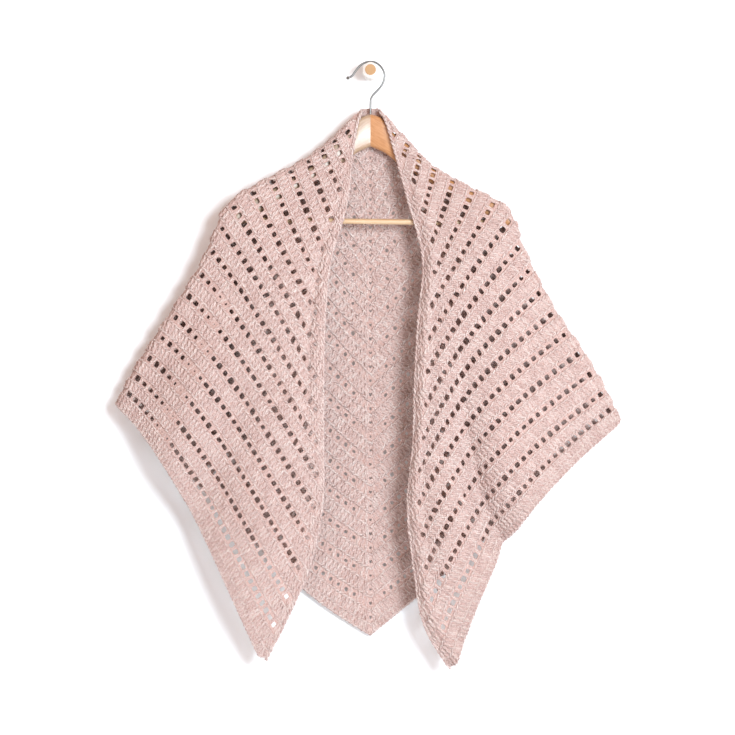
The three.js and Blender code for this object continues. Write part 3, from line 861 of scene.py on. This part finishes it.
def growStitches(name, tree, shape, at, outward, upright, size, seed):
    carrier = meshObject(name + "_points", at, [])
    for attribute, values in (("outward", outward), ("upright", upright), ("size", size)):
        layer = carrier.data.attributes.new(attribute, "FLOAT_VECTOR", "POINT")
        layer.data.foreach_set("vector", np.ascontiguousarray(values, dtype=np.float32).ravel())
    grow = carrier.modifiers.new("stitches", "NODES")
    grow.node_group = tree
    sockets = {i.name: i.identifier for i in tree.interface.items_tree if i.in_out == "INPUT"}
    grow[sockets["Stitch"]] = shape
    grow[sockets["Size jitter"]] = stitch["sizeJitter"]
    grow[sockets["Turn jitter"]] = stitch["turnJitter"]
    grow[sockets["Seed"]] = seed
    grow[sockets["Yarn"]] = yarn
    evaluated = carrier.evaluated_get(bpy.context.evaluated_depsgraph_get())
    mesh = bpy.data.meshes.new_from_object(evaluated)
    carrier.modifiers.remove(grow)
    bpy.data.objects.remove(carrier)
    mesh.name = name
    piece = addToScene(name, mesh)
    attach(piece, "root")
    return piece


# The meshes are split at the spine and the side folds; the ends reach just past both edges.
stretches = {
    "left_front": (-1.01, -0.5),
    "back_left": (-0.5, 0),
    "back_right": (0, 0.5),
    "right_front": (0.5, 1.01),
}


# Sets stitches of one kind on the cloth, stretch by stretch.
def coverCloth(kind, shape, tree, places):
    pieces = []
    row, across, height, width, way = places.T
    at, normal, along, down = clothFrame(row, across)
    alongSize = np.linalg.norm(along, axis=1)
    alongUnit = along / alongSize[:, None]
    square = np.cross(alongUnit, normal)  # in the cloth, square to the row, towards the hem
    square *= np.sign((square * down).sum(1))[:, None]
    rowGap = (down * square).sum(1)
    lineUnit = down / np.linalg.norm(down, axis=1)[:, None]
    room = alongSize * width / stitch["spacing"]
    if kind == "posts":
        # At the front edges the posts lie along the edge, and at the spine along the spine.
        reach, most = stitch["alongEdge"]
        toEdge = smoothStep(reach, 0.0, (1 - np.abs(across)) * alongSize)
        toSpine = smoothStep(stitch["alongSpine"], 0.0, np.abs(across) * alongSize)
        pull = np.maximum(toEdge * most, toSpine)[:, None]
        upright = square * (1 - pull) + lineUnit * pull
        upright = upright + alongUnit * (stitch["lean"] * way)[:, None] * (1 - pull)
        upright /= np.linalg.norm(upright, axis=1)[:, None]
        tall = rowGap * height / np.maximum((upright * square).sum(1), stitch["leastRise"])
        wide = np.clip(room, *stitch["postWidth"])
        thick = np.clip(room + stitch["thicknessGain"], *stitch["thickness"])
        thick = thick * np.where(way > 0, stitch["openDepth"], stitch["solidDepth"])
        size = np.stack([wide, tall / stitch["postHeight"], thick], -1)
    elif kind == "edges":
        upright = np.cross(normal, lineUnit) * way[:, None]
        size = np.full((len(row), 3), stitch["edgeWidth"])
    else:
        upright = -square * way[:, None]
        wide = np.clip(room, *stitch["loopWidth"])
        thick = np.clip(wide + stitch["thicknessGain"], *stitch["thickness"])
        size = np.stack([wide, np.clip(wide, *stitch["loopHeight"]), thick], -1)
    if kind != "edges":
        for axis, (least, rows) in ((0, stitch["neckWidth"]), (2, stitch["neckDepth"])):
            size[:, axis] *= least + (1 - least) * smoothStep(*rows, row)
    fold = stitch["sharpFold"]
    fromFold = np.abs(np.abs(across) - 0.5) * alongSize
    sharp = (row < fold["toRow"]) & (fromFold < fold["reach"])
    wideEnough = (alongSize * width > stitch["narrowest"]) & ~sharp | (kind == "edges")
    for seed, (stretch, (low, high)) in enumerate(stretches.items()):
        pick = (across >= low) & (across < high) & wideEnough
        if not pick.any():
            continue
        piece = growStitches(
            kind + "_" + stretch,
            tree,
            shape,
            at[pick],
            normal[pick],
            upright[pick],
            size[pick],
            seed,
        )
        pieces.append(piece)
    print(kind + ":", len(row), "stitches,", sum(len(p.data.polygons) for p in pieces), "faces")
    return pieces


stitchNodes = stitchTree()
postMesh, loopMesh = postShape(), loopShape()
stitchPieces = coverCloth("posts", postMesh, stitchNodes, postPlaces())
stitchPieces += coverCloth("chains", loopMesh, stitchNodes, loopPlaces())
stitchPieces += coverCloth("edges", loopMesh, stitchNodes, edgePlaces())
for shape in (postMesh, loopMesh):
    bpy.data.objects.remove(shape)

# Hanger and peg: smooth copies of their solids, in wood and steel.

wood = {
    "armSlope": 32,  # degrees that the arms' grain falls away from the neck
    "grainWidth": 1.6,  # mm across one streak of grain
    "grainLength": 40,
    "fleckWidth": 0.9,  # drawn twice as wide as beech's real flecks, or they would not show
    "fleckLength": 3.5,
    "fleckDepth": 0.3,
    "tonesOver": (0.36, 0.66),  # the stretches of the noise that make tones and flecks
    "flecksOver": (0.62, 0.74),
    "grainHeight": 0.0004,
    # painted light: the left arm is a paler lit copy and the right arm a redder shaded copy of one
    # lacquered beech
    "paintedLitArm": ("#A3856A", "#AA8E73", "#B1977D"),
    "paintedShadedArm": ("#AF784A", "#B78153", "#BF8A5D"),
    "barTones": ("#BD986F", "#C6A681", "#CEB28E"),
}
steel = {
    "cloudScale": 260,
    "roughness": (0.26, 0.44),
    "wearScale": 600,
    "tipTones": ("#45423D", "#6C675F"),
}
peg = {
    "endFrom": -0.0516,  # y of the bare end, in front of the limewashed chamfer
    "ringWidth": 1.5,  # mm
    "pith": (0.005, 0, -0.011),  # where the growth rings are centred
    "bareTones": ("#A57B4E", "#B28C5F"),
    "washedTones": ("#E6E3DE", "#DCD4C8"),
    "streakWidth": 1.6,
}


# Streaks of grain along a direction that falls by an angle from +X, as a factor from 0 to 1.
def grainFactor(tree, slope, width, length, detail):
    along = addNode(
        tree,
        "ShaderNodeMapping",
        {
            "Vector": objectPlace(tree),
            "Rotation": (0, math.radians(slope), 0),
            "Scale": (length / 1000, width / 1000, width / 1000),
        },
        vector_type="TEXTURE",
    )
    return noise(tree, along.outputs[0], 1, detail)


# Beech planed, sanded and lacquered: long faint grain, short darker flecks, a clear gloss on top.
def lacqueredBeech(name, tones, slope):
    material, tree, shader = newMaterial(name, tones[1], 0.42)
    grain = grainFactor(tree, slope, wood["grainWidth"], wood["grainLength"], 3)
    colour = threeTones(tree, grain, tones, *wood["tonesOver"])
    flecks = grainFactor(tree, slope, wood["fleckWidth"], wood["fleckLength"], 1)
    # only the strongest patches of the noise become flecks
    low, high = wood["flecksOver"]
    picked = addNode(
        tree, "ShaderNodeMapRange", {0: flecks, 1: low, 2: high, 3: 0, 4: wood["fleckDepth"]}
    )
    flecked = mixColours(tree, picked.outputs[0], colour, linear(tones[0]))
    tree.links.new(flecked, shader.inputs["Base Color"])
    bumpFrom(tree, shader, grain, 0.15, wood["grainHeight"])
    shader.inputs["IOR"].default_value = 1.5
    shader.inputs["Coat Weight"].default_value = 0.4
    shader.inputs["Coat Roughness"].default_value = 0.28
    shader.inputs["Coat IOR"].default_value = 1.5
    return material


# Drawn steel wire under satin nickel: cool grey, its gloss a little broken up along the wire.
def nickelledSteel():
    material, tree, shader = newMaterial("steel wire, satin nickel plate", "#71706D", 0.34)
    shader.inputs["Metallic"].default_value = 1
    cloudy = noise(tree, objectPlace(tree), steel["cloudScale"], 2)
    low, high = steel["roughness"]
    rough = addNode(tree, "ShaderNodeMapRange", {0: cloudy, 3: low, 4: high})
    tree.links.new(rough.outputs[0], shader.inputs["Roughness"])
    return material


# The wire's end, dipped and dull: nearly black.
def dippedTip():
    material, tree, shader = newMaterial("steel, dipped black end", "#37342F", 0.55)
    worn = noise(tree, objectPlace(tree), steel["wearScale"], 2)
    tone = addNode(tree, "ShaderNodeValToRGB", {"Fac": worn})
    for stop, hexColour in zip(tone.color_ramp.elements, steel["tipTones"]):
        stop.color = linear(hexColour)
    tree.links.new(tone.outputs["Color"], shader.inputs["Base Color"])
    return material


# Turned beech dowel: its sides limewashed nearly white, its end bare with growth rings.
def limewashedDowel():
    material, tree, shader = newMaterial("beech dowel, limewashed sides, bare end", "#F0E6D6", 0.6)
    axes = addNode(tree, "ShaderNodeSeparateXYZ", {0: objectPlace(tree)}).outputs
    isEnd = addNode(
        tree, "ShaderNodeMath", {0: axes["Y"], 1: peg["endFrom"]}, operation="LESS_THAN"
    )
    flat = addNode(tree, "ShaderNodeCombineXYZ", {"X": axes["X"], "Z": axes["Z"]})
    fromPith = addNode(
        tree, "ShaderNodeVectorMath", {0: flat.outputs[0], 1: peg["pith"]}, operation="DISTANCE"
    )
    turns = addNode(
        tree,
        "ShaderNodeMath",
        {0: fromPith.outputs["Value"], 1: 2000 * math.pi / peg["ringWidth"]},
        operation="MULTIPLY",
    )
    rings = addNode(tree, "ShaderNodeMath", {0: turns.outputs[0]}, operation="SINE")
    share = addNode(tree, "ShaderNodeMapRange", {0: rings.outputs[0], 1: -1, 2: 1})
    bare = mixColours(tree, share.outputs[0], *(linear(tone) for tone in peg["bareTones"]))
    streaks = grainFactor(tree, 0, peg["streakWidth"], peg["streakWidth"], 3)
    washed = mixColours(tree, streaks, *(linear(tone) for tone in peg["washedTones"]))
    both = mixColours(tree, isEnd.outputs[0], washed, bare)
    tree.links.new(both, shader.inputs["Base Color"])
    return material


finish = {
    "weld": 0.00002,
    "jointGap": 0.0005,
    "sharpFrom": 38,  # degrees between faces from which an edge stays sharp
}


# A welded, smoothly shaded copy of a hard solid. The arms' copies meet in their glued joint.
def smoothCopy(node, material, joined=False):
    mesh = cadNodes[node].data.copy()
    mesh.name = node + "_finished"
    mesh.materials.clear()
    mesh.materials.append(material)
    soft = bmesh.new()
    soft.from_mesh(mesh)
    bmesh.ops.remove_doubles(soft, verts=soft.verts, dist=finish["weld"])
    if joined:
        for vert in soft.verts:
            if abs(vert.co.x) < finish["jointGap"]:
                vert.co.x = 0
    soft.to_mesh(mesh)
    soft.free()
    if mesh.has_custom_normals:
        mesh.attributes.remove(mesh.attributes["custom_normal"])
    piece = addToScene(node + "_finished", mesh)
    shadeSmooth(piece, finish["sharpFrom"])
    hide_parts(node)
    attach(piece, "root")
    return piece


# the arms get painted lit and shaded copies of one beech: the left paler, the right redder
paintedLitBeech = lacqueredBeech("lacquered beech, lit side painted pale", wood["paintedLitArm"], -wood["armSlope"])
paintedShadedBeech = lacqueredBeech("lacquered beech, shaded side painted red", wood["paintedShadedArm"], wood["armSlope"])
turnedBar = lacqueredBeech("turned pale hardwood, lacquered", wood["barTones"], 0)
smoothCopy("hanger_arm_left", paintedLitBeech, joined=True)
smoothCopy("hanger_arm_right", paintedShadedBeech, joined=True)
smoothCopy("trouser_bar", turnedBar)
smoothCopy("hook", nickelledSteel())
smoothCopy("hook_tip", dippedTip())
smoothCopy("wall_peg", limewashedDowel())
print("hanger, hook and peg finished")
